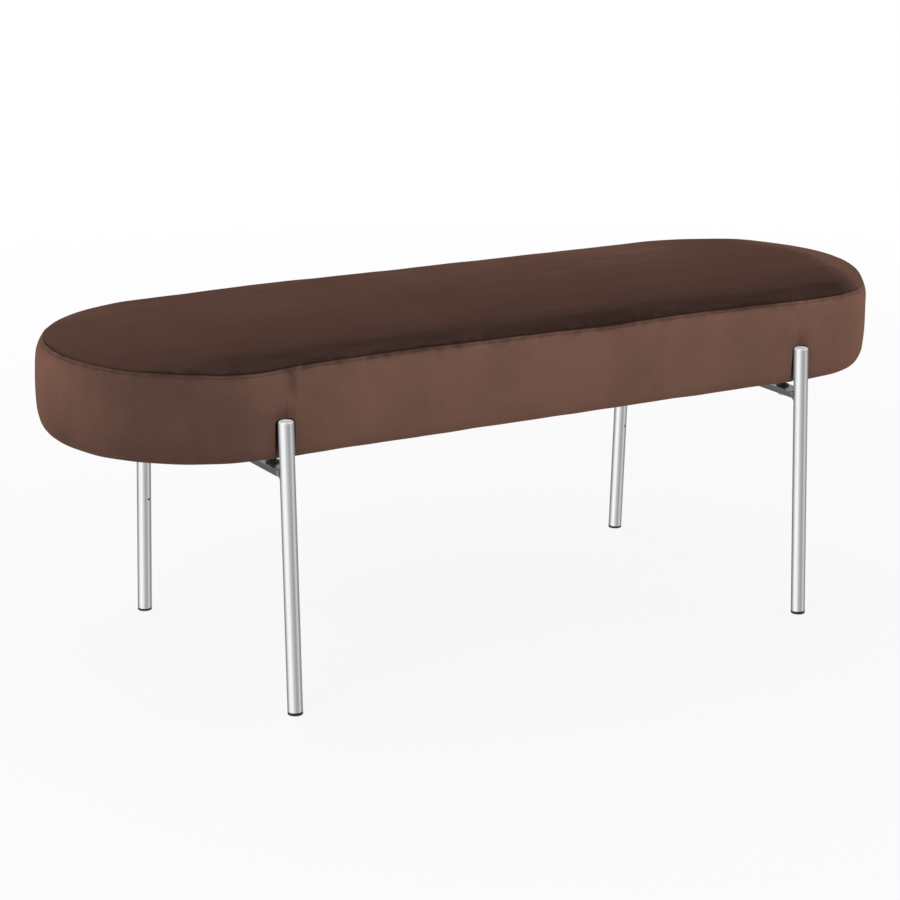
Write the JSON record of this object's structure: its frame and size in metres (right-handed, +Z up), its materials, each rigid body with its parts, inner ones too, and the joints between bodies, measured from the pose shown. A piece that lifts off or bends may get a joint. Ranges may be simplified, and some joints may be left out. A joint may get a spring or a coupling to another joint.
{
  "type": "oval bench ottoman",
  "caption": "Oval velvet bench ottoman: a deep padded seat with a sewn band, carried on slim splayed chrome tube legs joined by cross bars under the seat.",
  "frame": {"origin": "on the floor under the middle of the seat", "axes": "+X along the bench, +Y to its back, +Z up"},
  "size_m": [1.21, 0.4718, 0.45],
  "materials": {
    "velvet": "brown short-pile velvet with a soft sheen",
    "wadding": "white polyester wadding",
    "foam": "cream open-cell foam",
    "dust_cloth": "black non-woven cloth",
    "plywood": "bare birch plywood",
    "chrome_tube": "satin chrome plate",
    "bar_steel": "dull plated flat bar",
    "zinc_steel": "zinc-plated steel",
    "spacer_rubber": "black rubber",
    "glide_plastic": "black moulded plastic"
  },
  "bodies": {
    "root": {"leg_tube_front_left": "chrome_tube", "leg_cap_front_left": "chrome_tube", "foot_glide_front_left": "glide_plastic", "leg_tube_front_right": "chrome_tube", "leg_cap_front_right": "chrome_tube", "foot_glide_front_right": "glide_plastic", "leg_tube_back_left": "chrome_tube", "leg_cap_back_left": "chrome_tube", "foot_glide_back_left": "glide_plastic", "leg_tube_back_right": "chrome_tube", "leg_cap_back_right": "chrome_tube", "foot_glide_back_right": "glide_plastic", "cross_bar_left": "bar_steel", "weld_beads_left": "bar_steel", "cross_bar_right": "bar_steel", "weld_beads_right": "bar_steel", "seat_spacers": "spacer_rubber", "bolt_washers": "zinc_steel", "seat_bolts": "zinc_steel", "t_nuts": "zinc_steel", "seat_board": "plywood", "foam_block": "foam", "wadding_layer": "wadding", "dust_cover": "dust_cloth", "top_panel": "velvet", "band_front": "velvet", "band_back": "velvet", "band_left_end": "velvet", "band_right_end": "velvet"}
  },
  "joints": []
}
